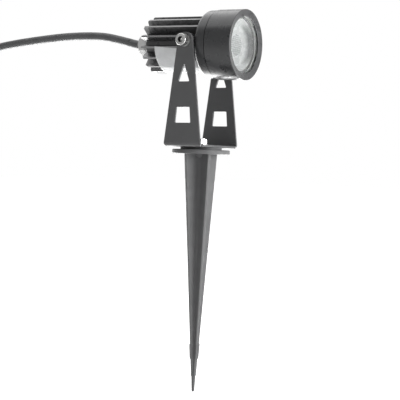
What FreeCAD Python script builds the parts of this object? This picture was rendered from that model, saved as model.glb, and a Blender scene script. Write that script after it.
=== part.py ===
import FreeCAD, Part
import math
import os

from FreeCAD import Placement, Rotation, Vector

# Garden spike spotlight, millimetres, +Z up.
# Origin: on the spike's axis at the underside of its flange, which is ground level.
# +X is the way the light shines, +Y runs along the tilt axis.

# ---------------------------------------------------------------- driving dimensions
# spike
SPIKE_LENGTH = 177.5
WING_REACH = 13.3
WING_TIP_REACH = 1.9
WING_THICKNESS = 2.4
WING_TIP_THICKNESS = 1.6
WING_EDGE_ROUND = 0.45
WING_ROOT_R = 3.6
WING_TIP_ROOT_R = 0.4
WING_TURN = 59.0
NECK_R = 5.4
NECK_DEPTH = 5.0
POINT_R = 1.05
POINT_BACK_R = 1.7
POINT_LENGTH = 12.0
BARB_TOP = 141.5
BARB_LENGTH = 12.5
BARB_PROUD = 0.6
DIMPLE_DOWN = 70.2
DIMPLE_OUT = 6.6
DIMPLE_R = 2.1
DIMPLE_DEPTH = 0.7
FLANGE_R = 21.3
FLANGE_THICKNESS = 3.2
FLANGE_ROUND = 0.7
BOSS_R = 15.3
BOSS_HEIGHT = 1.7
INSERT_R = 3.5
INSERT_LENGTH = 6.0

# bracket
PLATE = 1.5
LEG_GAP = 52.0
LEG_BASE_WIDTH = 31.0
LEG_TOP_R = 6.1
PIVOT_HEIGHT = 80.0
BEND_INNER_R = 1.6
LEG_CORNER_R = 1.6
WINDOW_BOTTOM = 21.7
WINDOW_TOP = 32.9
WINDOW_BOTTOM_WIDTH = 13.3
WINDOW_TOP_WIDTH = 11.2
TRIANGLE_BOTTOM = 51.0
TRIANGLE_TOP = 63.8
TRIANGLE_WIDTH = 9.4
WINDOW_CORNER_R = 0.5

# screws of 5 mm
SCREW_R = 2.5
SOCKET_HEAD_R = 4.25
SOCKET_HEAD_HEIGHT = 5.0
SOCKET_ACROSS_FLATS = 4.0
SOCKET_DEPTH = 2.6
TILT_SCREW_LENGTH = 12.0
SPRING_WASHER_R = 4.4
SPRING_WASHER_THICKNESS = 1.2
HEX_HEAD_ACROSS_FLATS = 8.0
HEX_HEAD_HEIGHT = 3.5
WASHER_R = 5.0
WASHER_THICKNESS = 1.0

# lamp head, places along its axis counted from the tilt axis, and how far it looks down
HEAD_DIP = 1.8
HEAD_R = 25.2
HEAD_FRONT = 34.8
SEAM_AT = 13.5
SEAM_GAP = 0.4
COLLAR_R = 24.8
COLLAR_BACK = 5.1
COLLAR_BACK_R = 22.3
COLLAR_SHOULDER = 3.4
FIN_COUNT = 16
FIN_R = 20.8
FIN_THICKNESS = 1.4
FIN_ROOT_THICKNESS = 2.3
FIN_END_ROUND = 1.8
FIN_RAMP = 1.6
FIN_RAMP_R = 21.6
FIN_REAR = -43.5
CORE_BODY_R = 12.5
CAVITY_R = 10.5
CAVITY_FRONT = 2.0
REAR_WALL = 3.0
CUP_FLOOR = 6.5
CUP_R = 20.5
SPIGOT_R = 22.4
BEZEL_BORE_CLEARANCE = 0.1
GROOVE_AT = 15.1
GROOVE_WIDTH = 1.6
GROOVE_DEPTH = 1.2
SIDE_BOSS_R = 5.9
LIP_SETBACK = 1.9
LIP_STEP = 0.9
LIP_R = 20.3
LIP_CONE_INNER_R = 20.6
RIM_WIDTH = 0.35
GLASS_THICKNESS = 3.0
GASKET_THICKNESS = 1.2

# optic and lamp board
PAD_THICKNESS = 0.4
BOARD_R = 16.0
BOARD_THICKNESS = 1.6
BOARD_SCREW_AT = 13.8
BOARD_SCREW_R = 1.0
BOARD_SCREW_HEAD_R = 1.8
BOARD_SCREW_HEAD_HEIGHT = 1.2
BOARD_SCREW_LENGTH = 4.6
COB_SIZE = 12.0
COB_BASE = 0.8
PHOSPHOR_R = 4.7
PHOSPHOR_HEIGHT = 0.2
LENS_BACK_AT = 10.1
LENS_BACK_R = 6.4
LENS_MIDDLE_AT = 16.6
LENS_MIDDLE_R = 13.4
LENS_SHOULDER_AT = 27.4
LENS_SHOULDER_R = 18.6
LENS_FLANGE_R = 19.9
LENS_FLANGE_THICKNESS = 1.6
LENS_WELL_R = 8.3
LENS_WELL_AT = 22.0
LENS_POCKET_R = 4.6
LENS_POCKET_TOP_R = 3.4
LENS_POCKET_AT = 15.5
HOLDER_RING_IN = 10.3
HOLDER_RING_OUT = 11.8
HOLDER_RING_HEIGHT = 2.4
HOLDER_LEG_WIDTH = 3.0
HOLDER_LEGS = 4
HOLDER_TOP_RING = 1.4
WIRE_HOLE_R = 1.6
WIRE_HOLE_DOWN = 8.2

# driver inside the finned body
DRIVER_LENGTH = 32.0
DRIVER_SETBACK = 3.4
DRIVER_THICKNESS = 1.2
DRIVER_DOWN = 3.0
INDUCTOR_R = 4.0
INDUCTOR_WAIST_R = 2.7
INDUCTOR_HEIGHT = 5.0
INDUCTOR_CHEEK = 1.0
CAPACITOR_R = 3.6
CAPACITOR_LENGTH = 9.0
CHIP_HEIGHT = 1.6
WIRE_R = 0.65

# gland and cable
CABLE_R = 3.1
GLAND_THREAD_R = 6.0
GLAND_ACROSS_FLATS = 14.6
GLAND_WASHER_THICKNESS = 0.8
GLAND_WASHER_R = 7.1
GLAND_HEX = 3.6
GLAND_NECK_R = 5.6
GLAND_NECK = 3.6
GLAND_SEAL_R = 4.4
NUT_LENGTH = 6.6
NUT_CAP = 1.8
NUT_MOUTH_SPARE = 0.3
CORE_OFFSET = 1.25
CORE_WIRE_R = 1.1
CORE_LENGTH = 20.0
STRAND_R = 0.65
STRAND_LENGTH = 7.0

# coil of the spare cable, lying at the level of the spike's tip
COIL_X = -219.5
COIL_Y = -43.0
COIL_OUTER_R = 36.6
COIL_PITCH = 7.9
COIL_LAYER = 6.7
COIL_INWARD_TURNS = 1.0
COIL_CLIMB_TURNS = 0.5
COIL_OUTWARD_TURNS = 1.125
TAIL_LENGTH = 36.0
TIE_WIDTH = 3.6
TIE_THICKNESS = 0.6
TIE_ANGLE = 250.0

# label
LABEL_THICKNESS = 0.15
LABEL_REAR = -30.4
LABEL_FRONT = 3.2
LABEL_FROM_ANGLE = 6.0
LABEL_TO_ANGLE = 101.0

# clearances
FIT = 0.05
RUN = 0.1
SEAT = 0.1
MARGIN = 1.0

# ---------------------------------------------------------------- derived places
BASE_UNDER = FLANGE_THICKNESS + BOSS_HEIGHT + RUN
BASE_TOP = BASE_UNDER + PLATE
LEG_OUTER = LEG_GAP / 2 + PLATE
BOSS_FACE = LEG_GAP / 2 - 2 * RUN
LIP_BACK = HEAD_FRONT - LIP_SETBACK
GLASS_FRONT = LIP_BACK - SEAT
GLASS_BACK = GLASS_FRONT - GLASS_THICKNESS
SPIGOT_FRONT = GLASS_BACK - GASKET_THICKNESS - 2 * SEAT
BEZEL_BORE = SPIGOT_R + BEZEL_BORE_CLEARANCE
GLASS_R = BEZEL_BORE - 3 * SEAT
PAD_TOP = CUP_FLOOR + PAD_THICKNESS
BOARD_TOP = PAD_TOP + BOARD_THICKNESS
COLLAR_SHOULDER_AT = COLLAR_BACK + COLLAR_SHOULDER
GLAND_HEX_FROM = FIN_REAR - GLAND_WASHER_THICKNESS
GLAND_HEX_TO = GLAND_HEX_FROM - GLAND_HEX
GLAND_NECK_TO = GLAND_HEX_TO - GLAND_NECK
NUT_FROM = GLAND_HEX_TO - 2 * SEAT
NUT_TO = NUT_FROM - NUT_LENGTH
INLET_INNER_END = FIN_REAR + REAR_WALL + MARGIN
DRIVER_FROM = FIN_REAR + REAR_WALL + DRIVER_SETBACK
DRIVER_TOP = -DRIVER_DOWN + DRIVER_THICKNESS / 2
DRIVER_UNDER = -DRIVER_DOWN - DRIVER_THICKNESS / 2
GROUND_Z = -SPIKE_LENGTH
COIL_Z = GROUND_Z + TIE_THICKNESS + 2 * SEAT + CABLE_R
SCREW_HOLE_DEPTH = BOARD_SCREW_LENGTH - PAD_THICKNESS - BOARD_THICKNESS + SEAT

X_AXIS = Vector(1, 0, 0)
Y_AXIS = Vector(0, 1, 0)
Z_AXIS = Vector(0, 0, 1)
AT_HEAD = Vector(0, 0, PIVOT_HEIGHT)

# The cable in the gland leaves it straight and turns up just outside.
INLET_TURN = (NUT_TO - 2.7, 0, 0)
INLET_END = (NUT_TO - 11.2, 0, 1.9)
CABLE_START = Rotation(Y_AXIS, HEAD_DIP).multVec(Vector(*INLET_END)) + AT_HEAD
INLET_ROUND_SHARE = 0.68
ROUND_SHARE = 0.45

# The free cable, as corners of its route: up and over in a low arch behind the lamp,
# down beside it to the ground and round to where the coil starts.
COIL_START_X = COIL_X - COIL_OUTER_R
CABLE_ROUTE = [
    tuple(CABLE_START),
    (-75.5, 0, 86.46),
    (-91, 0, 89.9),
    (-110, 0, 91.2),
    (-134, 0, 91.2),
    (-162, 0, 89.6),
    (-190, 0, 87.3),
    (-216, 0, 83.8),
    (-238, 1, 68),
    (-251, 3, 44),
    (-256.5, 6, 12),
    (-258, 8, -30),
    (-256.8, 9.5, -74),
    (COIL_START_X, COIL_Y + 53, -112),
    (COIL_START_X, COIL_Y + 53, COIL_Z + 22),
    (COIL_START_X, COIL_Y + 31, COIL_Z),
    (COIL_START_X, COIL_Y, COIL_Z),
]


# ---------------------------------------------------------------- shared shapes
def cylinder(radius, start, along, length):
    return Part.makeCylinder(radius, length, start, along)


def ring(outer, inner, start, end):
    """A tube on the X axis between two places."""
    outside = cylinder(outer, Vector(start, 0, 0), X_AXIS, end - start)
    return outside.cut(cylinder(inner, Vector(start, 0, 0), X_AXIS, end - start))


def outline(points):
    """A closed wire through corner points."""
    return Part.makePolygon([Vector(*p) for p in points] + [Vector(*points[0])])


def turned(profile):
    """A solid turned about the X axis from (place, radius) corners.

    A corner given as (place, radius, place, radius) is an arc through the first pair to the second.
    """
    edges = []
    last = Vector(profile[0][0], 0, profile[0][1])
    for corner in profile[1:] + profile[:1]:
        end = Vector(corner[-2], 0, corner[-1])
        if len(corner) == 4:
            edges.append(Part.Arc(last, Vector(corner[0], 0, corner[1]), end).toShape())
        else:
            edges.append(Part.LineSegment(last, end).toShape())
        last = end
    return Part.Face(Part.Wire(edges)).revolve(Vector(), X_AXIS, 360)


def fused(shapes):
    first, *rest = shapes
    return first.multiFuse(rest).removeSplitter() if rest else first


def turned_about(shape, axis, degrees, centre=Vector()):
    copy = shape.copy()
    copy.rotate(centre, axis, degrees)
    return copy


def around(shape, axis, count, offset=0.0):
    return [turned_about(shape, axis, offset + 360.0 * k / count) for k in range(count)]


def moved(shape, step):
    copy = shape.copy()
    copy.translate(step)
    return copy


def on_head(shape):
    """A shape made about the X axis, turned down with the lamp and set on the tilt axis."""
    return moved(turned_about(shape, Y_AXIS, HEAD_DIP), AT_HEAD)


def hexagon(across_flats, start, along, length):
    """A six-sided prism with two flats level with the ground."""
    corner_r = across_flats / math.sqrt(3)
    turn = Rotation(Z_AXIS, along)
    corners = [
        start + turn.multVec(Vector(corner_r * math.cos(a), corner_r * math.sin(a), 0))
        for a in (math.radians(60 * k) for k in range(6))
    ]
    return Part.Face(Part.makePolygon(corners + corners[:1])).extrude(along * length)


def bevelled_hexagon(across_flats, start, along, length, both_ends=False):
    """A six-sided prism whose corners are turned off at its far end, or at both."""
    bevel = across_flats * 0.077
    edge_r = across_flats / math.sqrt(3)
    cone = Part.makeCone(edge_r + length - bevel, edge_r - bevel, length, start, along)
    shape = hexagon(across_flats, start, along, length).common(cone)
    if both_ends:
        back = Part.makeCone(edge_r - bevel, edge_r + length - bevel, length, start, along)
        shape = shape.common(back)
    return shape


def rounded_polygon(points, radius):
    """A flat face in the XZ plane whose corners are rounded alike."""
    corners = [Vector(x, 0, z) for x, z in points]
    edges = []
    starts = []
    ends = []
    count = len(corners)
    for k, corner in enumerate(corners):
        before = (corners[k - 1] - corner).normalize()
        after = (corners[(k + 1) % count] - corner).normalize()
        half = before.getAngle(after) / 2
        reach = radius / math.tan(half)
        inward = (before + after).normalize()
        starts.append(corner + before * reach)
        ends.append(corner + after * reach)
        middle = corner + inward * (radius / math.sin(half) - radius)
        edges.append(Part.Arc(starts[-1], middle, ends[-1]).toShape())
    edges += [Part.LineSegment(ends[k - 1], starts[k]).toShape() for k in range(count)]
    return Part.Face(Part.Wire(Part.__sortEdges__(edges)))


def edges_at(shape, test):
    return [e for e in shape.Edges if test(e)]


def circle_edges(shape, radius, height, axis_place=2):
    """Circular edges of one radius whose centre has the given coordinate."""
    def wanted(edge):
        curve = edge.Curve
        return (
            isinstance(curve, Part.Circle)
            and abs(curve.Radius - radius) < 1e-4
            and abs(curve.Center[axis_place] - height) < 1e-4
        )
    return edges_at(shape, wanted)


# ---------------------------------------------------------------- cable routes
def rounded_route(points, share=ROUND_SHARE):
    """Straight runs joined by tangent arcs that use up a share of the shorter run."""
    corners = [Vector(*p) for p in points]
    edges = []
    radii = []
    last = corners[0]
    for before, corner, after in zip(corners, corners[1:], corners[2:]):
        back = (before - corner)
        ahead = (after - corner)
        shorter = min(back.Length, ahead.Length)
        back.normalize()
        ahead.normalize()
        half_turn = (math.pi - back.getAngle(ahead)) / 2
        radius = share * shorter / math.tan(half_turn)
        radii.append(radius)
        start = corner + back * (share * shorter)
        end = corner + ahead * (share * shorter)
        inward = (back + ahead).normalize()
        middle = corner + inward * (radius / math.cos(half_turn) - radius)
        edges.append(Part.LineSegment(last, start).toShape())
        edges.append(Part.Arc(start, middle, end).toShape())
        last = end
    edges.append(Part.LineSegment(last, corners[-1]).toShape())
    return Part.Wire(edges), radii


def tube(wire, radius):
    """A round solid along a smooth wire, from its first point."""
    first = wire.Edges[0]
    start = first.valueAt(first.FirstParameter)
    along = first.tangentAt(first.FirstParameter)
    ring_wire = Part.Wire(Part.makeCircle(radius, start, along))
    return wire.makePipeShell([ring_wire], True, False)


def report_tube(name, solid, wire, radius, radii=()):
    expected = math.pi * radius**2 * wire.Length
    least = f", least radius {min(radii):.1f}" if radii else ""
    print(f"{name}: length {wire.Length:.1f}, volume ratio {solid.Volume / expected:.4f}{least}")


def biarc(p1, t1, p2, t2):
    """Two arcs that leave p1 along t1 and reach p2 along t2."""
    across = p2 - p1
    total = t1 + t2
    spread = 2 * (1 - t1.dot(t2))
    reach = across.dot(total)
    if spread > 1e-9:
        d = (-reach + math.sqrt(reach**2 + spread * across.dot(across))) / spread
    else:
        d = across.dot(across) / (2 * reach)
    q1 = p1 + t1 * d
    q2 = p2 - t2 * d
    joint = (q1 + q2) / 2
    arcs = []
    for start, control, end in ((p1, q1, joint), (joint, q2, p2)):
        weight = (end - start).Length / 2 / (control - start).Length
        middle = (start + end + control * (2 * weight)) / (2 * (1 + weight))
        arcs.append(Part.Arc(start, middle, end).toShape())
    return arcs


def coil_place(turns):
    """The coil's centre line and its direction after so many turns from the start.

    The first layer winds inward, the cable climbs a layer in half a turn and the second
    layer winds outward on top of it.
    """
    climb_end = COIL_INWARD_TURNS + COIL_CLIMB_TURNS
    inner_r = COIL_OUTER_R - COIL_PITCH * COIL_INWARD_TURNS
    if turns <= COIL_INWARD_TURNS:
        radius = COIL_OUTER_R - COIL_PITCH * turns
        height = 0.0
    elif turns <= climb_end:
        share = (turns - COIL_INWARD_TURNS) / COIL_CLIMB_TURNS
        radius = inner_r
        height = COIL_LAYER * share * share * (3 - 2 * share)
    else:
        radius = inner_r + COIL_PITCH * (turns - climb_end)
        height = COIL_LAYER
    angle = math.pi + 2 * math.pi * turns
    flat = Vector(math.cos(angle), math.sin(angle), 0)
    return Vector(COIL_X, COIL_Y, COIL_Z + height) + flat * radius


def coil_direction(turns):
    step = 1e-4
    angle = math.pi + 2 * math.pi * turns
    if turns <= 0:
        return Vector(-math.sin(angle), math.cos(angle), 0)
    return (coil_place(turns + step) - coil_place(turns - step)).normalize()


def coil_wire():
    total = COIL_INWARD_TURNS + COIL_CLIMB_TURNS + COIL_OUTWARD_TURNS
    pieces = round(total * 8)
    marks = [total * k / pieces for k in range(pieces + 1)]
    edges = []
    for a, b in zip(marks, marks[1:]):
        edges += biarc(coil_place(a), coil_direction(a), coil_place(b), coil_direction(b))
    edges += biarc(coil_place(total), coil_direction(total), *tail_end())
    return Part.Wire(edges), total


def tail_end():
    """Where the tail of the cable, led off the coil, comes to lie on the ground."""
    total = COIL_INWARD_TURNS + COIL_CLIMB_TURNS + COIL_OUTWARD_TURNS
    along = coil_direction(total)
    along.z = 0
    along.normalize()
    place = coil_place(total) + along * TAIL_LENGTH
    place.z = GROUND_Z + CABLE_R + SEAT
    return place, along


def least_self_gap(wire, radius):
    """The least clear distance between turns, on points one millimetre apart."""
    points = wire.discretize(Number=int(wire.Length))
    near = int(6 * radius)
    least = min(
        (a - b).Length
        for i, a in enumerate(points)
        for b in points[i + near:]
    )
    return least - 2 * radius


# ---------------------------------------------------------------- the spike
def cross_outline(depth, reach, thickness, edge_round, root_round):
    """The crossed blades cut level: four round-edged arms with rounded inner corners."""
    half = thickness / 2
    fold = half + root_round
    slant = math.sqrt(0.5)
    edges = []

    def place(x, y, quarter):
        turn = Rotation(Z_AXIS, 90 * quarter)
        return turn.multVec(Vector(x, y, 0)) - Z_AXIS * depth

    for k in range(4):
        flat_start = place(reach, edge_round - half, k)
        flat_end = place(reach, half - edge_round, k)
        nose = place(reach - edge_round * (1 - slant), half - edge_round * (1 - slant), k)
        side_start = place(reach - edge_round, half, k)
        side_end = place(fold, half, k)
        inner = place(fold - root_round * slant, fold - root_round * slant, k)
        next_start = place(half, fold, k)
        next_end = place(half, reach - edge_round, k)
        next_nose = place(half - edge_round * (1 - slant), reach - edge_round * (1 - slant), k)
        next_flat = place(half - edge_round, reach, k)
        edges += [
            Part.LineSegment(flat_start, flat_end).toShape(),
            Part.Arc(flat_end, nose, side_start).toShape(),
            Part.LineSegment(side_start, side_end).toShape(),
            Part.Arc(side_end, inner, next_start).toShape(),
            Part.LineSegment(next_start, next_end).toShape(),
            Part.Arc(next_end, next_nose, next_flat).toShape(),
        ]
    return Part.Wire(edges)


def wing_end():
    return SPIKE_LENGTH - POINT_LENGTH


def wing_reach_at(depth):
    return WING_REACH + (WING_TIP_REACH - WING_REACH) * depth / wing_end()


def barb():
    """A low tooth on a wing's edge that keeps the spike from pulling out."""
    low = BARB_TOP + BARB_LENGTH
    inner = wing_reach_at(low) - BARB_PROUD
    points = [
        (inner, 0, -BARB_TOP),
        (wing_reach_at(BARB_TOP) + BARB_PROUD, 0, -BARB_TOP),
        (wing_reach_at(low - 2) + BARB_PROUD, 0, -low + 2),
        (inner, 0, -low),
    ]
    half = WING_TIP_THICKNESS * 0.4
    tooth = Part.Face(outline(points)).extrude(Vector(0, 2 * half, 0))
    return moved(tooth, Vector(0, -half, 0))


def wing_dimple():
    """The shallow round mark near the edge of one wing's face."""
    share = DIMPLE_DOWN / wing_end()
    face = (WING_THICKNESS + (WING_TIP_THICKNESS - WING_THICKNESS) * share) / 2
    start = Vector(DIMPLE_OUT, -face - MARGIN, -DIMPLE_DOWN)
    return cylinder(DIMPLE_R, start, Y_AXIS, MARGIN + DIMPLE_DEPTH)


def spike():
    top = cross_outline(0, WING_REACH, WING_THICKNESS, WING_EDGE_ROUND, WING_ROOT_R)
    bottom = cross_outline(
        wing_end(), WING_TIP_REACH, WING_TIP_THICKNESS, WING_EDGE_ROUND, WING_TIP_ROOT_R
    )
    wings = Part.makeLoft([top, bottom], True, True)
    low = POINT_R - SPIKE_LENGTH
    point = Part.makeCone(POINT_R, POINT_BACK_R, POINT_LENGTH + MARGIN, Vector(0, 0, low))
    tip = Part.makeSphere(POINT_R, Vector(0, 0, low))
    neck = Part.makeCone(POINT_BACK_R, NECK_R, NECK_DEPTH, Vector(0, 0, -NECK_DEPTH))
    stem = fused([wings, point, tip, neck] + around(barb(), Z_AXIS, 4)).cut(wing_dimple())
    flange = cylinder(FLANGE_R, Vector(), Z_AXIS, FLANGE_THICKNESS)
    rims = circle_edges(flange, FLANGE_R, 0) + circle_edges(flange, FLANGE_R, FLANGE_THICKNESS)
    flange = flange.makeFillet(FLANGE_ROUND, rims)
    boss = cylinder(BOSS_R, Vector(), Z_AXIS, FLANGE_THICKNESS + BOSS_HEIGHT)
    whole = fused([stem, flange, boss])
    seat = FLANGE_THICKNESS + BOSS_HEIGHT - INSERT_LENGTH - SEAT
    bore = cylinder(INSERT_R + FIT, Vector(0, 0, seat), Z_AXIS, INSERT_LENGTH + MARGIN)
    return turned_about(whole.cut(bore), Z_AXIS, WING_TURN)


def threaded_insert():
    """The brass insert that the bracket's bolt screws into."""
    top = FLANGE_THICKNESS + BOSS_HEIGHT
    sleeve = cylinder(INSERT_R, Vector(0, 0, top - INSERT_LENGTH), Z_AXIS, INSERT_LENGTH)
    return sleeve.cut(cylinder(SCREW_R + FIT, Vector(0, 0, top - 2 * INSERT_LENGTH), Z_AXIS, 3 * INSERT_LENGTH))


def swivel_bolt():
    under_head = BASE_TOP + RUN + WASHER_THICKNESS
    head = bevelled_hexagon(HEX_HEAD_ACROSS_FLATS, Vector(0, 0, under_head), Z_AXIS, HEX_HEAD_HEIGHT)
    bottom = FLANGE_THICKNESS + BOSS_HEIGHT - INSERT_LENGTH + SEAT
    shank = cylinder(SCREW_R, Vector(0, 0, bottom), Z_AXIS, under_head - bottom + MARGIN)
    return fused([head, shank])


def swivel_washer():
    start = Vector(0, 0, BASE_TOP + RUN)
    disc = cylinder(WASHER_R, start, Z_AXIS, WASHER_THICKNESS)
    return disc.cut(cylinder(SCREW_R + FIT, start, Z_AXIS, WASHER_THICKNESS))


# ---------------------------------------------------------------- the bracket
def tangent_point(corner_x, corner_z):
    """Where a line from a lower corner touches the rounded top of the leg, on the same side."""
    away = Vector(corner_x, 0, corner_z - PIVOT_HEIGHT)
    distance = away.Length
    lean = math.acos(LEG_TOP_R / distance)
    heading = math.atan2(away.z, away.x) + lean
    return LEG_TOP_R * math.cos(heading), PIVOT_HEIGHT + LEG_TOP_R * math.sin(heading)


def leg_outline():
    """The leg seen along the tilt axis: a tall taper with a rounded top and corners."""
    half = LEG_BASE_WIDTH / 2
    touch_x, touch_z = tangent_point(half, BASE_UNDER)
    low = BASE_UNDER
    corners = [
        Vector(half, 0, low),
        Vector(touch_x, 0, touch_z),
        Vector(0, 0, PIVOT_HEIGHT + LEG_TOP_R),
        Vector(-touch_x, 0, touch_z),
        Vector(-half, 0, low),
    ]
    edges = [
        Part.LineSegment(corners[0], corners[1]).toShape(),
        Part.Arc(corners[1], corners[2], corners[3]).toShape(),
        Part.LineSegment(corners[3], corners[4]).toShape(),
        Part.LineSegment(corners[4], corners[0]).toShape(),
    ]
    return Part.Face(Part.Wire(edges))


def yoke():
    """One strip of sheet folded into a U, with tapered legs and cut-out windows."""
    outer_r = BEND_INNER_R + PLATE
    height = PIVOT_HEIGHT + 2 * LEG_TOP_R - BASE_UNDER
    width = 2 * LEG_OUTER
    blank = Part.makeBox(
        LEG_BASE_WIDTH + 2 * MARGIN, width, height + outer_r,
        Vector(-LEG_BASE_WIDTH / 2 - MARGIN, -LEG_OUTER, BASE_UNDER),
    )
    space = Part.makeBox(
        LEG_BASE_WIDTH + 4 * MARGIN, width - 2 * PLATE, height + 2 * outer_r,
        Vector(-LEG_BASE_WIDTH / 2 - 2 * MARGIN, -LEG_GAP / 2, BASE_TOP),
    )

    def low_fold(z):
        def wanted(edge):
            return edge.Length > LEG_BASE_WIDTH and all(abs(v.Z - z) < 1e-6 for v in edge.Vertexes) \
                and abs(edge.Vertexes[0].X - edge.Vertexes[1].X) > LEG_BASE_WIDTH
        return wanted

    blank = blank.makeFillet(outer_r, edges_at(blank, low_fold(BASE_UNDER)))
    space = space.makeFillet(BEND_INNER_R, edges_at(space, low_fold(BASE_TOP)))
    profile = leg_outline().extrude(Vector(0, width + 2 * MARGIN, 0))
    profile = moved(profile, Vector(0, -LEG_OUTER - MARGIN, 0))
    upright = edges_at(
        profile,
        lambda e: all(abs(v.Z - BASE_UNDER) < 1e-6 for v in e.Vertexes)
        and abs(e.Vertexes[0].Y - e.Vertexes[1].Y) > width,
    )
    profile = profile.makeFillet(LEG_CORNER_R, upright)
    half_base = Part.makeBox(
        LEG_BASE_WIDTH, LEG_GAP - 2 * BEND_INNER_R, PLATE,
        Vector(-LEG_BASE_WIDTH / 2, -LEG_GAP / 2 + BEND_INNER_R, BASE_UNDER),
    )
    strip = fused([blank.cut(space).common(profile), half_base])
    window = rounded_polygon(
        [
            (-WINDOW_BOTTOM_WIDTH / 2, WINDOW_BOTTOM), (WINDOW_BOTTOM_WIDTH / 2, WINDOW_BOTTOM),
            (WINDOW_TOP_WIDTH / 2, WINDOW_TOP), (-WINDOW_TOP_WIDTH / 2, WINDOW_TOP),
        ],
        WINDOW_CORNER_R,
    )
    triangle = rounded_polygon(
        [
            (-TRIANGLE_WIDTH / 2, TRIANGLE_BOTTOM), (TRIANGLE_WIDTH / 2, TRIANGLE_BOTTOM),
            (0, TRIANGLE_TOP + WINDOW_CORNER_R),
        ],
        WINDOW_CORNER_R,
    )
    through = Vector(0, width + 2 * MARGIN, 0)
    cuts = [moved(face.extrude(through), Vector(0, -LEG_OUTER - MARGIN, 0)) for face in (window, triangle)]
    cuts.append(cylinder(SCREW_R + RUN, Vector(0, -LEG_OUTER - MARGIN, PIVOT_HEIGHT), Y_AXIS, width + 2 * MARGIN))
    cuts.append(cylinder(SCREW_R + RUN, Vector(0, 0, BASE_UNDER - MARGIN), Z_AXIS, PLATE + 2 * MARGIN))
    return strip.cut(Part.makeCompound(cuts))


# ---------------------------------------------------------------- tilt screws
def both_sides(shape):
    """The piece made for the -Y leg and its copy turned to the +Y leg."""
    return Part.makeCompound([shape, turned_about(shape, Z_AXIS, 180)])


def tilt_screws():
    under_head = -(LEG_OUTER + RUN + SPRING_WASHER_THICKNESS)
    out = Vector(0, -1, 0)
    head = cylinder(SOCKET_HEAD_R, Vector(0, under_head, 0), out, SOCKET_HEAD_HEIGHT)
    face = under_head - SOCKET_HEAD_HEIGHT
    head = head.makeFillet(0.5, circle_edges(head, SOCKET_HEAD_R, face, 1))
    socket = hexagon(SOCKET_ACROSS_FLATS, Vector(0, face + SOCKET_DEPTH, 0), out, SOCKET_DEPTH + MARGIN)
    drill = Part.makeCone(
        SOCKET_ACROSS_FLATS / 2, 0, SOCKET_ACROSS_FLATS / 4, Vector(0, face + SOCKET_DEPTH, 0), Y_AXIS
    )
    shank = cylinder(SCREW_R, Vector(0, under_head - MARGIN, 0), Y_AXIS, TILT_SCREW_LENGTH + MARGIN)
    tip = circle_edges(shank, SCREW_R, under_head + TILT_SCREW_LENGTH, 1)
    shank = shank.makeChamfer(0.5, tip)
    screw = fused([head, shank]).cut(socket).cut(drill)
    return moved(both_sides(screw), AT_HEAD)


def spring_washers():
    """Split lock washers, their ends a little apart."""
    start = Vector(0, -(LEG_OUTER + RUN), 0)
    out = Vector(0, -1, 0)
    washer = cylinder(SPRING_WASHER_R, start, out, SPRING_WASHER_THICKNESS)
    washer = washer.cut(cylinder(SCREW_R + FIT, start, out, SPRING_WASHER_THICKNESS))
    split = Part.makeBox(0.8, 3 * SPRING_WASHER_THICKNESS, SPRING_WASHER_R, Vector(-0.4, start.y - 2, 0))
    split = turned_about(split, Y_AXIS, 35)
    return moved(both_sides(washer.cut(split)), AT_HEAD)


# ---------------------------------------------------------------- the finned body
def fin():
    """One radial fin on top of the core: thinner outward, rounded behind, swept up in front."""
    root = CORE_BODY_R - MARGIN
    bend = FIN_END_ROUND
    lean = bend * (1 - math.sqrt(0.5))
    front = (COLLAR_BACK + CUP_FLOOR) / 2
    ramp_start = Vector(COLLAR_BACK - FIN_RAMP, 0, FIN_R)
    ramp_end = Vector(front, 0, FIN_RAMP_R)
    ramp_middle = Vector((ramp_start.x + front) / 2, 0, FIN_R + 0.27 * (FIN_RAMP_R - FIN_R))
    rear_low = Vector(FIN_REAR, 0, root)
    rear_high = Vector(FIN_REAR, 0, FIN_R - bend)
    top_start = Vector(FIN_REAR + bend, 0, FIN_R)
    front_low = Vector(front, 0, root)
    edges = [
        Part.LineSegment(rear_low, rear_high).toShape(),
        Part.Arc(rear_high, Vector(FIN_REAR + lean, 0, FIN_R - lean), top_start).toShape(),
        Part.LineSegment(top_start, ramp_start).toShape(),
        Part.Arc(ramp_start, ramp_middle, ramp_end).toShape(),
        Part.LineSegment(ramp_end, front_low).toShape(),
        Part.LineSegment(front_low, rear_low).toShape(),
    ]
    side = Part.Face(Part.Wire(edges)).extrude(Vector(0, 2 * FIN_ROOT_THICKNESS, 0))
    side = moved(side, Vector(0, -FIN_ROOT_THICKNESS, 0))
    thick = FIN_ROOT_THICKNESS / 2
    thin = FIN_THICKNESS / 2
    height = FIN_R - root
    over = FIN_RAMP_R + MARGIN
    thinnest = thick + (thin - thick) * (over - root) / height
    start = FIN_REAR - MARGIN
    section = outline([
        (start, -thick, root), (start, thick, root), (start, thinnest, over), (start, -thinnest, over),
    ])
    return side.common(Part.Face(section).extrude(Vector(front + MARGIN - start, 0, 0)))


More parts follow.
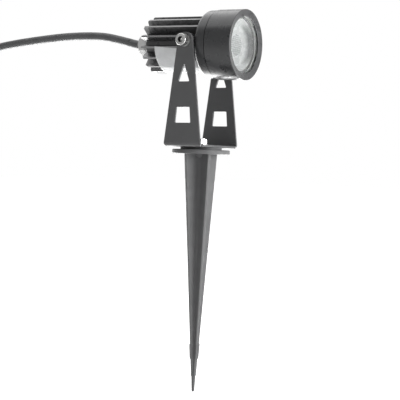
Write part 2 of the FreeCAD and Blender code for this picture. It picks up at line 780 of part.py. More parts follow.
def finned_body():
    """The cast body: a finned core at the rear and a cup with a threaded spigot in front."""
    slant = COLLAR_SHOULDER * (1 - math.sqrt(0.5))
    rise = COLLAR_R - COLLAR_BACK_R
    skin = turned([
        (FIN_REAR, 0), (FIN_REAR, CORE_BODY_R), (COLLAR_BACK, CORE_BODY_R),
        (COLLAR_BACK, COLLAR_BACK_R),
        (COLLAR_BACK + slant, COLLAR_BACK_R + rise * math.sqrt(0.5), COLLAR_SHOULDER_AT, COLLAR_R),
        (SEAM_AT, COLLAR_R), (SEAM_AT, SPIGOT_R), (SPIGOT_FRONT, SPIGOT_R),
        (SPIGOT_FRONT, CUP_R), (CUP_FLOOR, CUP_R), (CUP_FLOOR, 0),
    ])
    fins = around(fin(), X_AXIS, FIN_COUNT, 180 / FIN_COUNT)
    boss = cylinder(SIDE_BOSS_R, Vector(0, -BOSS_FACE, 0), Y_AXIS, 2 * BOSS_FACE)
    shape = skin.multiFuse(fins + [boss])
    cavity = cylinder(CAVITY_R, Vector(FIN_REAR + REAR_WALL, 0, 0), X_AXIS, CAVITY_FRONT - FIN_REAR - REAR_WALL)
    gland_hole = cylinder(GLAND_THREAD_R + FIT, Vector(FIN_REAR - MARGIN, 0, 0), X_AXIS, REAR_WALL + 2 * MARGIN)
    groove = ring(SPIGOT_R + MARGIN, SPIGOT_R - GROOVE_DEPTH, GROOVE_AT, GROOVE_AT + GROOVE_WIDTH)
    wire_hole = cylinder(
        WIRE_HOLE_R, Vector(CAVITY_FRONT - MARGIN, 0, -WIRE_HOLE_DOWN), X_AXIS, CUP_FLOOR - CAVITY_FRONT + 2 * MARGIN
    )
    holes = [cavity, gland_hole, groove, wire_hole]
    depth = TILT_SCREW_LENGTH + 2 * SEAT
    for side in (-1, 1):
        holes.append(cylinder(
            SCREW_R + FIT, Vector(0, side * (BOSS_FACE + MARGIN), 0), Vector(0, -side, 0), depth
        ))
    holes += board_screw_holes(SCREW_HOLE_DEPTH)
    shape = shape.cut(Part.makeCompound(holes)).removeSplitter()
    return on_head(shape)


def board_screw_places():
    return [(BOARD_SCREW_AT * math.cos(a), BOARD_SCREW_AT * math.sin(a)) for a in (0.0, math.pi)]


def board_screw_holes(depth):
    return [
        cylinder(BOARD_SCREW_R + FIT, Vector(CUP_FLOOR - depth, y, z), X_AXIS, depth + MARGIN)
        for y, z in board_screw_places()
    ]


# ---------------------------------------------------------------- front of the head
def bezel():
    """The front ring that screws over the body's spigot and holds the glass."""
    back = SEAM_AT + SEAM_GAP
    shape = turned([
        (back, BEZEL_BORE), (back, HEAD_R), (HEAD_FRONT, HEAD_R), (HEAD_FRONT, HEAD_R - RIM_WIDTH),
        (LIP_BACK + LIP_STEP, LIP_CONE_INNER_R), (LIP_BACK + LIP_STEP - 0.1, LIP_R),
        (LIP_BACK, LIP_R), (LIP_BACK, BEZEL_BORE),
    ])
    shape = shape.makeFillet(0.25, circle_edges(shape, HEAD_R, HEAD_FRONT, 0))
    shape = shape.makeChamfer(0.35, circle_edges(shape, HEAD_R, back, 0))
    return on_head(shape)


def cover_glass():
    disc = cylinder(GLASS_R, Vector(GLASS_BACK, 0, 0), X_AXIS, GLASS_THICKNESS)
    rims = circle_edges(disc, GLASS_R, GLASS_BACK, 0) + circle_edges(disc, GLASS_R, GLASS_FRONT, 0)
    return on_head(disc.makeChamfer(0.3, rims))


def glass_gasket():
    front = GLASS_BACK - SEAT
    return on_head(ring(GLASS_R, CUP_R + SEAT, front - GASKET_THICKNESS, front))


def body_seal():
    """The round seal ring in the spigot's groove."""
    middle_r = SPIGOT_R - GROOVE_DEPTH / 2
    wire_r = (BEZEL_BORE - SPIGOT_R + GROOVE_DEPTH) / 2 - 2 * FIT
    place = Vector(GROOVE_AT + GROOVE_WIDTH / 2, 0, 0)
    return on_head(Part.makeTorus(middle_r, wire_r, place, X_AXIS))


def lens_back_profile(offset):
    """The bowl of the lens as (place, radius) corners, grown outward by an offset."""
    return [
        (LENS_BACK_AT - offset, 0), (LENS_BACK_AT - offset, LENS_BACK_R + offset),
        (LENS_MIDDLE_AT, LENS_MIDDLE_R + offset, LENS_SHOULDER_AT, LENS_SHOULDER_R + offset),
    ]


def lens():
    """A clear collimator: a bowl over the lamp, a well in front and a flange at its rim."""
    front = LENS_SHOULDER_AT + LENS_FLANGE_THICKNESS
    solid = turned(lens_back_profile(0) + [
        (LENS_SHOULDER_AT, LENS_FLANGE_R), (front, LENS_FLANGE_R), (front, LENS_WELL_R),
        (LENS_WELL_AT, LENS_WELL_R - 0.4), (LENS_WELL_AT, 0),
    ])
    pocket = turned([
        (LENS_BACK_AT - MARGIN, 0), (LENS_BACK_AT - MARGIN, LENS_POCKET_R),
        (LENS_BACK_AT, LENS_POCKET_R), (LENS_POCKET_AT, LENS_POCKET_TOP_R),
        (LENS_POCKET_AT + 0.8, LENS_POCKET_TOP_R / 2), (LENS_POCKET_AT + 0.8, 0),
    ])
    return on_head(solid.cut(pocket))


def lens_holder():
    """A cage on the lamp board whose legs carry the lens by its flange."""
    low = BOARD_TOP + SEAT
    top = LENS_SHOULDER_AT - SEAT
    foot = ring(HOLDER_RING_OUT, HOLDER_RING_IN, low, low + HOLDER_RING_HEIGHT)
    rim = ring(LENS_FLANGE_R + SEAT, LENS_SHOULDER_R, top - HOLDER_TOP_RING, top)
    leg_face = Part.Face(outline([
        (low, 0, HOLDER_RING_IN), (low, 0, HOLDER_RING_OUT), (top, 0, LENS_FLANGE_R + SEAT),
        (top, 0, LENS_SHOULDER_R - 2), (low + HOLDER_RING_HEIGHT, 0, HOLDER_RING_IN - 1),
    ]))
    leg = moved(leg_face.extrude(Vector(0, HOLDER_LEG_WIDTH, 0)), Vector(0, -HOLDER_LEG_WIDTH / 2, 0))
    legs = around(leg, X_AXIS, HOLDER_LEGS, 45)
    bowl = turned(lens_back_profile(2 * SEAT) + [(LENS_SHOULDER_AT, 0)])
    cage = fused([foot, rim] + legs).cut(bowl)
    return on_head(cage)


def led_board():
    disc = cylinder(BOARD_R, Vector(PAD_TOP, 0, 0), X_AXIS, BOARD_THICKNESS)
    return on_head(disc.cut(Part.makeCompound(board_holes())))


def thermal_pad():
    disc = cylinder(BOARD_R - 5 * SEAT, Vector(CUP_FLOOR, 0, 0), X_AXIS, PAD_THICKNESS)
    return on_head(disc.cut(Part.makeCompound(board_holes())))


def board_holes():
    """Holes through the board and its pad for the screws and the two wires."""
    through = PAD_THICKNESS + BOARD_THICKNESS + 2 * MARGIN
    start = CUP_FLOOR - MARGIN
    holes = [cylinder(WIRE_HOLE_R, Vector(start, 0, -WIRE_HOLE_DOWN), X_AXIS, through)]
    for y, z in board_screw_places():
        holes.append(cylinder(BOARD_SCREW_R + FIT, Vector(start, y, z), X_AXIS, through))
    return holes


def board_screws():
    screws = []
    for y, z in board_screw_places():
        head = cylinder(BOARD_SCREW_HEAD_R, Vector(BOARD_TOP, y, z), X_AXIS, BOARD_SCREW_HEAD_HEIGHT)
        rim = circle_edges(head, BOARD_SCREW_HEAD_R, BOARD_TOP + BOARD_SCREW_HEAD_HEIGHT, 0)
        head = head.makeFillet(0.4, rim)
        shank = cylinder(BOARD_SCREW_R, Vector(BOARD_TOP - BOARD_SCREW_LENGTH, y, z), X_AXIS, BOARD_SCREW_LENGTH)
        screws.append(fused([head, shank]))
    return on_head(Part.makeCompound(screws))


def led_cob():
    """The lamp chip: a square base with its round phosphor patch."""
    half = COB_SIZE / 2
    base = Part.makeBox(COB_BASE, COB_SIZE, COB_SIZE, Vector(BOARD_TOP, -half, -half))
    patch = cylinder(PHOSPHOR_R, Vector(BOARD_TOP, 0, 0), X_AXIS, COB_BASE + PHOSPHOR_HEIGHT)
    return on_head(fused([base, patch]))


# ---------------------------------------------------------------- driver
def driver_board():
    half = math.sqrt(CAVITY_R**2 - DRIVER_UNDER**2) - 3 * SEAT
    plate = Part.makeBox(
        DRIVER_LENGTH, 2 * half, DRIVER_THICKNESS, Vector(DRIVER_FROM, -half, DRIVER_UNDER)
    )
    return on_head(plate)


def driver_inductor():
    """A drum core: two cheeks with the winding's waist between them."""
    foot = Vector(DRIVER_FROM + DRIVER_LENGTH - 1.5 * INDUCTOR_R, 0, DRIVER_TOP)
    lower = cylinder(INDUCTOR_R, foot, Z_AXIS, INDUCTOR_CHEEK)
    waist = cylinder(INDUCTOR_WAIST_R, foot, Z_AXIS, INDUCTOR_HEIGHT)
    upper = cylinder(INDUCTOR_R, foot + Z_AXIS * (INDUCTOR_HEIGHT - INDUCTOR_CHEEK), Z_AXIS, INDUCTOR_CHEEK)
    return on_head(fused([lower, waist, upper]))


def driver_capacitor():
    start = Vector(DRIVER_FROM + 7.0, 0, DRIVER_TOP + CAPACITOR_R + SEAT)
    can = cylinder(CAPACITOR_R, start, X_AXIS, CAPACITOR_LENGTH)
    rims = circle_edges(can, CAPACITOR_R, start.x, 0) + circle_edges(can, CAPACITOR_R, start.x + CAPACITOR_LENGTH, 0)
    return on_head(can.makeFillet(0.5, rims))


def driver_chips():
    """The rectifier and the current regulator on the driver board."""
    low = DRIVER_TOP
    rectifier = Part.makeBox(5.0, 4.0, CHIP_HEIGHT, Vector(DRIVER_FROM + 16.6, 1.5, low))
    regulator = Part.makeBox(4.0, 4.0, CHIP_HEIGHT, Vector(DRIVER_FROM + 16.6, -5.5, low))
    return on_head(Part.makeCompound([rectifier, regulator]))


def lead_wires():
    """Two wires from the driver's underside, through the wall, to the lamp board."""
    low = -WIRE_HOLE_DOWN
    start = DRIVER_FROM + DRIVER_LENGTH - 12
    wires = []
    for side in (-1, 1):
        y = side * (WIRE_R + SEAT)
        route = [
            (start, y, DRIVER_UNDER - WIRE_R), (start + 3, y, DRIVER_UNDER - WIRE_R - 0.3),
            (start + 9, y, low), (BOARD_TOP + 0.5, y, low + 0.01),
        ]
        wires.append(tube(rounded_route(route)[0], WIRE_R))
    return on_head(Part.makeCompound(wires))


def supply_wires():
    """The cable's two cores from its end to the driver board."""
    end = FIN_REAR + REAR_WALL + 1.0
    wires = []
    for side in (-1, 1):
        y = side * CORE_OFFSET
        route = [(end, y, 0), (end + 2, y, -0.1), (end + 5, y, DRIVER_TOP + WIRE_R), (end + 9, y, DRIVER_TOP + WIRE_R)]
        wires.append(tube(rounded_route(route)[0], WIRE_R))
    return on_head(Part.makeCompound(wires))


# ---------------------------------------------------------------- cable gland
def gland_body():
    """The gland's fixed half: a threaded tail, a six-sided flange and a threaded neck."""
    tail_end = FIN_REAR + REAR_WALL
    tail = cylinder(GLAND_THREAD_R, Vector(GLAND_HEX_TO, 0, 0), X_AXIS, tail_end - GLAND_HEX_TO)
    flats = bevelled_hexagon(
        GLAND_ACROSS_FLATS, Vector(GLAND_HEX_FROM, 0, 0), Vector(-1, 0, 0), GLAND_HEX, both_ends=True
    )
    neck = cylinder(GLAND_NECK_R, Vector(GLAND_NECK_TO, 0, 0), X_AXIS, GLAND_NECK + MARGIN)
    bore = cylinder(CABLE_R + FIT, Vector(GLAND_NECK_TO - MARGIN, 0, 0), X_AXIS, tail_end - GLAND_NECK_TO + 2 * MARGIN)
    pocket = cylinder(GLAND_SEAL_R + FIT, Vector(GLAND_NECK_TO - MARGIN, 0, 0), X_AXIS, GLAND_NECK + MARGIN)
    return on_head(fused([tail, flats, neck]).cut(bore).cut(pocket))


def gland_washer():
    return on_head(ring(GLAND_WASHER_R, GLAND_THREAD_R + FIT, GLAND_HEX_FROM, FIN_REAR))


def gland_seal():
    return on_head(ring(GLAND_SEAL_R, CABLE_R + FIT, GLAND_NECK_TO + SEAT, GLAND_HEX_TO - SEAT))


def gland_nut():
    """The cap nut that squeezes the seal on the cable."""
    away = Vector(-1, 0, 0)
    shell = bevelled_hexagon(GLAND_ACROSS_FLATS, Vector(NUT_FROM, 0, 0), away, NUT_LENGTH, both_ends=True)
    thread = cylinder(GLAND_NECK_R + FIT, Vector(NUT_FROM + MARGIN, 0, 0), away, NUT_LENGTH - NUT_CAP + MARGIN)
    mouth = cylinder(CABLE_R + NUT_MOUTH_SPARE, Vector(NUT_FROM, 0, 0), away, NUT_LENGTH + MARGIN)
    return on_head(shell.cut(thread).cut(mouth))


def cable_inlet():
    """The stretch of cable that the gland grips, from inside the body to its upward turn."""
    start = (INLET_INNER_END, 0, 0)
    wire, radii = rounded_route([start, INLET_TURN, INLET_END], INLET_ROUND_SHARE)
    solid = tube(wire, CABLE_R)
    report_tube("inlet", solid, wire, CABLE_R, radii)
    return on_head(solid)


# ---------------------------------------------------------------- cable and coil
def cable():
    wire, radii = rounded_route(CABLE_ROUTE)
    solid = tube(wire, CABLE_R)
    print("cable radii:", " ".join(f"{r:.0f}" for r in radii))
    report_tube("cable", solid, wire, CABLE_R, radii)
    return solid


def cable_coil():
    wire, total = coil_wire()
    solid = tube(wire, CABLE_R)
    report_tube("coil", solid, wire, CABLE_R)
    print(f"coil: {total:.3f} turns, least gap to itself {least_self_gap(wire, CABLE_R):.2f}")
    return solid


def core_routes():
    """Centre lines of the two cores that come out of the jacket."""
    start, along = tail_end()
    side = along.cross(Z_AXIS).normalize()
    lie = GROUND_Z + CORE_WIRE_R + SEAT
    routes = []
    for sign in (-1, 1):
        spread = side * (sign * CORE_OFFSET) + along * (2 * SEAT)
        bend = start + spread + along * (CORE_LENGTH * 0.4)
        end = start + spread * 2 + along * CORE_LENGTH
        bend.z = (start.z + lie) / 2
        end.z = lie
        routes.append([start + spread, bend, end])
    return routes


def cable_cores():
    wires = [tube(rounded_route([tuple(p) for p in route])[0], CORE_WIRE_R) for route in core_routes()]
    return Part.makeCompound(wires)


def core_strands():
    """The bared strands at the ends of the two cores."""
    strands = []
    for route in core_routes():
        along = (route[-1] - route[-2]).normalize()
        strands.append(cylinder(STRAND_R, route[-1], along, STRAND_LENGTH))
    return Part.makeCompound(strands)


def coil_tie():
    """A flat tie strapped round the bundle of turns."""
    turns = (TIE_ANGLE - 180) / 360
    outer_r = COIL_OUTER_R - COIL_PITCH * turns + CABLE_R + 3 * SEAT
    inner_r = COIL_OUTER_R - COIL_PITCH - CABLE_R - 3 * SEAT
    width = outer_r - inner_r
    height = COIL_LAYER + 2 * CABLE_R + 4 * SEAT
    low = COIL_Z - CABLE_R - 2 * SEAT
    inner = Part.makeBox(width, TIE_WIDTH, height, Vector(inner_r, -TIE_WIDTH / 2, low))
    outer = Part.makeBox(
        width + 2 * TIE_THICKNESS, TIE_WIDTH, height + 2 * TIE_THICKNESS,
        Vector(inner_r - TIE_THICKNESS, -TIE_WIDTH / 2, low - TIE_THICKNESS),
    )
    flat_edges = edges_at(outer, lambda e: abs(e.Vertexes[0].Y - e.Vertexes[1].Y) > TIE_WIDTH / 2)
    strap = outer.makeFillet(2.0, flat_edges).cut(inner)
    lock = Part.makeBox(
        2.6, TIE_WIDTH + 1.2, 4.2,
        Vector(inner_r + width + TIE_THICKNESS - 0.4, -TIE_WIDTH / 2 - 0.6, low + 4),
    )
    placed = fused([strap, lock])
    placed.rotate(Vector(), Z_AXIS, TIE_ANGLE)
    return moved(placed, Vector(COIL_X, COIL_Y, 0))


# ---------------------------------------------------------------- label
def blank_label():
    """A bare silver label laid over the tips of the lower fins on the -Y side."""
    length = LABEL_FRONT - LABEL_REAR
    inner = FIN_R + SEAT
    sheet = ring(inner + LABEL_THICKNESS, inner, LABEL_REAR, LABEL_FRONT)
    span = LABEL_TO_ANGLE - LABEL_FROM_ANGLE
    wedge = Part.makeCylinder(FIN_R + 2 * MARGIN, length, Vector(LABEL_REAR, 0, 0), X_AXIS, span)
    return sheet, wedge


def label():
    sheet, wedge = blank_label()
    probe = wedge.CenterOfMass
    heading = math.degrees(math.atan2(probe.z, probe.y))
    wanted = 180.0 + (LABEL_FROM_ANGLE + LABEL_TO_ANGLE) / 2
    turned_wedge = turned_about(wedge, X_AXIS, wanted - heading)
    clear = cylinder(SIDE_BOSS_R + 4 * SEAT, Vector(0, -2 * FIN_R, 0), Y_AXIS, 2 * FIN_R)
    return on_head(sheet.common(turned_wedge).cut(clear))


# ---------------------------------------------------------------- all nodes
NODES = {
    "spike": spike,
    "threaded_insert": threaded_insert,
    "swivel_bolt": swivel_bolt,
    "swivel_washer": swivel_washer,
    "yoke": yoke,
    "tilt_screws": tilt_screws,
    "spring_washers": spring_washers,
    "finned_body": finned_body,
    "bezel": bezel,
    "body_seal": body_seal,
    "cover_glass": cover_glass,
    "glass_gasket": glass_gasket,
    "lens": lens,
    "lens_holder": lens_holder,
    "led_cob": led_cob,
    "led_board": led_board,
    "thermal_pad": thermal_pad,
    "board_screws": board_screws,
    "driver_board": driver_board,
    "driver_inductor": driver_inductor,
    "driver_capacitor": driver_capacitor,
    "driver_chips": driver_chips,
    "lead_wires": lead_wires,
    "supply_wires": supply_wires,
    "gland_body": gland_body,
    "gland_washer": gland_washer,
    "gland_seal": gland_seal,
    "gland_nut": gland_nut,
    "cable_inlet": cable_inlet,
    "cable": cable,
    "cable_coil": cable_coil,
    "cable_cores": cable_cores,
    "core_strands": core_strands,
    "coil_tie": coil_tie,
    "blank_label": label,
}

os.makedirs("parts", exist_ok=True)
for name, make in NODES.items():
    shape = make()
    solids = shape.Solids
    assert solids and shape.isValid(), name
    shape.exportStep(f"parts/{name}.step")
    box = shape.BoundBox
    print(
        f"{name}: {len(solids)} solid(s), x {box.XMin:.1f} {box.XMax:.1f}, "
        f"y {box.YMin:.1f} {box.YMax:.1f}, z {box.ZMin:.1f} {box.ZMax:.1f}"
    )
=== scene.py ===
import math

import bmesh
import bpy
from mathutils import Matrix, Vector


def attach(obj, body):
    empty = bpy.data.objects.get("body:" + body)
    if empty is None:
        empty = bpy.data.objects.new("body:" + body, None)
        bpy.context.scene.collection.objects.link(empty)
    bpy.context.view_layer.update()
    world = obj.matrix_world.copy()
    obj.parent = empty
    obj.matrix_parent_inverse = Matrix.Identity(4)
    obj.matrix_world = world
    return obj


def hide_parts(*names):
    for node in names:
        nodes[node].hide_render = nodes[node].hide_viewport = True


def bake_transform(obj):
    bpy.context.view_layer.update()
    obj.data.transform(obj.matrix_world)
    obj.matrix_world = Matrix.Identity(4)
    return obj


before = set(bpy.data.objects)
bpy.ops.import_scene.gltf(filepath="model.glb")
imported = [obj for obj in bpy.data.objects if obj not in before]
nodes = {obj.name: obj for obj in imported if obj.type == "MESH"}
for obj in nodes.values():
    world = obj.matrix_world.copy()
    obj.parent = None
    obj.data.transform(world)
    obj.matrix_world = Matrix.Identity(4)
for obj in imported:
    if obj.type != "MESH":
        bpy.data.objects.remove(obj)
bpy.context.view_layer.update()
scene = bpy.context.scene

# ---------------------------------------------------------------- sizes shared with the CAD, in mm
MM = 0.001
PIVOT = 80.0
GROUND = -177.5
HEAD_DIP = math.radians(1.8)
FIN_R = 20.8
FINS = 16
CABLE_R = 3.1
TIE_THICKNESS = 0.6
SEAT_GAP = 0.1


def on_head(place, across, height):
    """A place on the level head, in mm from the tilt axis, carried to the dipped head, in m."""
    x = place * math.cos(HEAD_DIP) + height * math.sin(HEAD_DIP)
    z = height * math.cos(HEAD_DIP) - place * math.sin(HEAD_DIP)
    return Vector((x, across, PIVOT + z)) * MM


# ---------------------------------------------------------------- camera
CAMERA_AWAY = 0.6671
CAMERA_HEIGHT = -0.004
turn, pitch, roll = math.radians(30.8), math.radians(-2.58), math.radians(-1.95)
eye = Vector((CAMERA_AWAY * math.sin(turn), -CAMERA_AWAY * math.cos(turn), CAMERA_HEIGHT))
level = Vector((math.cos(turn), math.sin(turn), 0))
ahead = Vector((-math.sin(turn) * math.cos(pitch), math.cos(turn) * math.cos(pitch), math.sin(pitch)))
upward = level.cross(ahead)
right = math.cos(roll) * level - math.sin(roll) * upward
up = math.cos(roll) * upward + math.sin(roll) * level
camera_data = bpy.data.cameras.new("camera")
camera_data.lens = 81.1
camera_data.sensor_width = 36.0
camera_data.shift_x = 0.00165
camera_data.clip_start = 0.02
camera_data.clip_end = 50
camera = bpy.data.objects.new("camera", camera_data)
scene.collection.objects.link(camera)
camera.matrix_world = Matrix((
    (right.x, up.x, -ahead.x, eye.x),
    (right.y, up.y, -ahead.y, eye.y),
    (right.z, up.z, -ahead.z, eye.z),
    (0, 0, 0, 1),
))
scene.camera = camera

# ---------------------------------------------------------------- mesh helpers
TUBE_SIDES = 20
TURNED_STEPS = 96


def piece(name, mesh, body):
    obj = bpy.data.objects.new(name, mesh)
    scene.collection.objects.link(obj)
    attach(obj, body)
    return obj


def mesh_from(name, verts, faces, smooth=True):
    mesh = bpy.data.meshes.new(name)
    mesh.from_pydata([tuple(v) for v in verts], [], faces)
    mesh.validate()
    bm = bmesh.new()
    bm.from_mesh(mesh)
    bmesh.ops.recalc_face_normals(bm, faces=bm.faces)
    bm.to_mesh(mesh)
    bm.free()
    for polygon in mesh.polygons:
        polygon.use_smooth = smooth
    return mesh


def sharp_where(mesh, degrees):
    """Smooth shading that stays sharp at edges steeper than an angle."""
    for polygon in mesh.polygons:
        polygon.use_smooth = True
    mesh.set_sharp_from_angle(angle=math.radians(degrees))


def frames_along(points):
    """Directions and a side vector that doesn't twist, at each point of a line."""
    tangents = []
    for i in range(len(points)):
        a = points[max(i - 1, 0)]
        b = points[min(i + 1, len(points) - 1)]
        tangents.append((b - a).normalized())
    side = tangents[0].orthogonal().normalized()
    sides = [side]
    for t in tangents[1:]:
        side = (side - t * side.dot(t)).normalized()
        sides.append(side)
    return tangents, sides


def tube_mesh(name, points, radius):
    """A round tube along points, closed at both ends."""
    tangents, sides = frames_along(points)
    verts, faces = [], []
    for p, t, s in zip(points, tangents, sides):
        b = t.cross(s)
        for k in range(TUBE_SIDES):
            a = 2 * math.pi * k / TUBE_SIDES
            verts.append(p + (s * math.cos(a) + b * math.sin(a)) * radius)
    for i in range(len(points) - 1):
        here, there = i * TUBE_SIDES, (i + 1) * TUBE_SIDES
        for k in range(TUBE_SIDES):
            n = (k + 1) % TUBE_SIDES
            faces.append((here + k, here + n, there + n, there + k))
    faces.append(tuple(range(TUBE_SIDES - 1, -1, -1)))
    last = (len(points) - 1) * TUBE_SIDES
    faces.append(tuple(last + k for k in range(TUBE_SIDES)))
    mesh = mesh_from(name, verts, faces)
    for polygon in mesh.polygons[-2:]:
        polygon.use_smooth = False
    return mesh


def turned_mesh(name, profile):
    """A profile of (place, radius) in mm turned about the lamp's axis."""
    verts, faces = [], []
    count = len(profile)
    for k in range(TURNED_STEPS):
        a = 2 * math.pi * k / TURNED_STEPS
        for s, r in profile:
            verts.append(on_head(s, r * math.cos(a), r * math.sin(a)))
    for k in range(TURNED_STEPS):
        here, there = k * count, (k + 1) % TURNED_STEPS * count
        for i in range(count - 1):
            faces.append((here + i, here + i + 1, there + i + 1, there + i))
    mesh = mesh_from(name, verts, faces)
    bm = bmesh.new()
    bm.from_mesh(mesh)
    bmesh.ops.remove_doubles(bm, verts=bm.verts, dist=1e-6)
    bmesh.ops.recalc_face_normals(bm, faces=bm.faces)
    bm.to_mesh(mesh)
    bm.free()
    return mesh


# ---------------------------------------------------------------- the cable
CABLE_START = on_head(-65.9, 0, 1.9)
COIL = Vector((-219.5, -43.0, GROUND + TIE_THICKNESS + 2 * SEAT_GAP + CABLE_R))
COIL_R, COIL_PITCH, COIL_LAYER = 36.6, 7.9, 6.7
INWARD, CLIMB, OUTWARD, TAIL = 1.0, 0.5, 1.125, 36.0
POINTS_PER_TURN = 16
start_x = COIL.x - COIL_R

route = [Vector(p) for p in [
    tuple(CABLE_START / MM),
    (-75.5, 0, 86.46),
    (-91, 0, 89.9),
    (-110, 0, 91.2),
    (-134, 0, 91.2),
    (-162, 0, 89.6),
    (-190, 0, 87.3),
    (-216, 0, 83.8),
    (-238, 1, 68),
    (-251, 3, 44),
    (-256.5, 6, 12),
    (-258, 8, -30),
    (-256.8, 9.5, -74),
    (start_x, COIL.y + 53, -112),
    (start_x, COIL.y + 53, COIL.z + 22),
    (start_x, COIL.y + 31, COIL.z),
    (start_x, COIL.y + 8, COIL.z),
]]


def coil_point(turns):
    """The coil's line in mm, inward on the ground, up a layer, then outward on top."""
    inner = COIL_R - COIL_PITCH * INWARD
    if turns <= INWARD:
        radius, height = COIL_R - COIL_PITCH * turns, 0.0
    elif turns <= INWARD + CLIMB:
        share = (turns - INWARD) / CLIMB
        radius, height = inner, COIL_LAYER * share * share * (3 - 2 * share)
    else:
        radius, height = inner + COIL_PITCH * (turns - INWARD - CLIMB), COIL_LAYER
    a = math.pi + 2 * math.pi * turns
    return COIL + Vector((radius * math.cos(a), radius * math.sin(a), height))


total_turns = INWARD + CLIMB + OUTWARD
# control points lie a little outside the line that the spline then follows
lift = 1 / math.cos(math.pi / POINTS_PER_TURN)
for k in range(1, int(total_turns * POINTS_PER_TURN) + 1):
    p = coil_point(k / POINTS_PER_TURN)
    flat = Vector((p.x - COIL.x, p.y - COIL.y, 0))
    route.append(p + flat * (lift - 1) * 0.5)
end = coil_point(total_turns)
before = coil_point(total_turns - 0.01)
leaving = (end - before).normalized()
leaving.z = 0
leaving.normalize()
tail = end + leaving * TAIL
tail.z = GROUND + CABLE_R + SEAT_GAP
route += [
    end + leaving * 9,
    end + leaving * 17 - Vector((0, 0, 2.5)),
    Vector((*(end + leaving * 26).xy, tail.z + 0.2)),
    tail,
]

curve = bpy.data.curves.new("cable_line", "CURVE")
curve.dimensions = "3D"
curve.resolution_u = 8
spline = curve.splines.new("NURBS")
spline.points.add(len(route) - 1)
for point, p in zip(spline.points, route):
    point.co = (*(p * MM), 1)
spline.order_u = 3
spline.use_endpoint_u = True
line_object = bpy.data.objects.new("cable_line", curve)
scene.collection.objects.link(line_object)
bpy.context.view_layer.update()
line_mesh = bpy.data.meshes.new_from_object(line_object)
cable_points = [v.co.copy() for v in line_mesh.vertices]
bpy.data.objects.remove(line_object)
bpy.data.meshes.remove(line_mesh)
cable_length = sum((b - a).length for a, b in zip(cable_points, cable_points[1:]))
print("cable length", round(cable_length, 4), "points", len(cable_points))

cable = bpy.data.objects.new("supply_cable", tube_mesh("supply_cable", cable_points, CABLE_R * MM))
scene.collection.objects.link(cable)
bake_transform(cable)
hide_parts("cable", "cable_coil")


# ---------------------------------------------------------------- node helpers
class Tree:
    """Adds nodes to a tree and joins them."""

    def __init__(self, tree):
        self.nodes = tree.nodes
        self.links = tree.links

    def link(self, source, target):
        self.links.new(source, target)

    def maths(self, operation, a, b):
        node = self.nodes.new("ShaderNodeMath")
        node.operation = operation
        self.link(a, node.inputs[0])
        self.link(b, node.inputs[1])
        return node.outputs[0]

    def range(self, source, low, high, from_low=0.35, from_high=0.65, curve="LINEAR"):
        """A value carried from one range to another and held at its ends."""
        node = self.nodes.new("ShaderNodeMapRange")
        node.interpolation_type = curve
        node.inputs["From Min"].default_value = from_low
        node.inputs["From Max"].default_value = from_high
        node.inputs["To Min"].default_value = low
        node.inputs["To Max"].default_value = high
        self.link(source, node.inputs["Value"])
        return node.outputs["Result"]

    def eased(self, source, from_low, from_high, low, high):
        return self.range(source, low, high, from_low, from_high, "SMOOTHSTEP")

    def parts_of(self, source):
        """The X, Y and Z of a place or direction."""
        node = self.nodes.new("ShaderNodeSeparateXYZ")
        self.link(source, node.inputs["Vector"])
        return node.outputs


class Maker(Tree):
    """Builds one node material step by step."""

    def __init__(self, name):
        self.material = bpy.data.materials.new(name)
        self.material.use_nodes = True
        super().__init__(self.material.node_tree)
        self.shader = self.nodes["Principled BSDF"]
        self.output = self.nodes["Material Output"]
        self.place = self.nodes.new("ShaderNodeTexCoord").outputs["Object"]

    def noise(self, scale, detail=4.0, roughness=0.55, stretch=None):
        node = self.nodes.new("ShaderNodeTexNoise")
        node.inputs["Scale"].default_value = scale
        node.inputs["Detail"].default_value = detail
        node.inputs["Roughness"].default_value = roughness
        source = self.place
        if stretch:
            mapping = self.nodes.new("ShaderNodeMapping")
            mapping.inputs["Scale"].default_value = stretch
            self.link(source, mapping.inputs["Vector"])
            source = mapping.outputs["Vector"]
        self.link(source, node.inputs["Vector"])
        return node.outputs["Fac"]

    def cells(self, scale, randomness=1.0):
        """The distance from the middle of the nearest cell."""
        node = self.nodes.new("ShaderNodeTexVoronoi")
        node.inputs["Scale"].default_value = scale
        node.inputs["Randomness"].default_value = randomness
        self.link(self.place, node.inputs["Vector"])
        return node.outputs["Distance"]

    def blend(self, factor, a, b):
        node = self.nodes.new("ShaderNodeMix")
        node.data_type = "RGBA"
        for socket, value in ((node.inputs[6], a), (node.inputs[7], b)):
            if isinstance(value, bpy.types.NodeSocket):
                self.link(value, socket)
            else:
                socket.default_value = (*value[:3], 1)
        self.link(factor, node.inputs[0])
        return node.outputs[2]

    def bump(self, source, strength, distance):
        node = self.nodes.new("ShaderNodeBump")
        node.inputs["Strength"].default_value = strength
        node.inputs["Distance"].default_value = distance
        self.link(source, node.inputs["Height"])
        return node.outputs["Normal"]

    def surface(self, colour, roughness, normal=None):
        self.link(colour, self.shader.inputs["Base Color"])
        self.link(roughness, self.shader.inputs["Roughness"])
        if normal:
            self.link(normal, self.shader.inputs["Normal"])


# ---------------------------------------------------------------- materials
COAT_ROUGHNESS = 0.24
GLASS_IOR = 1.47
SHARP_FROM_DEGREES = 32


def shade(c, k):
    return tuple(min(1.0, v * k) for v in c[:3])


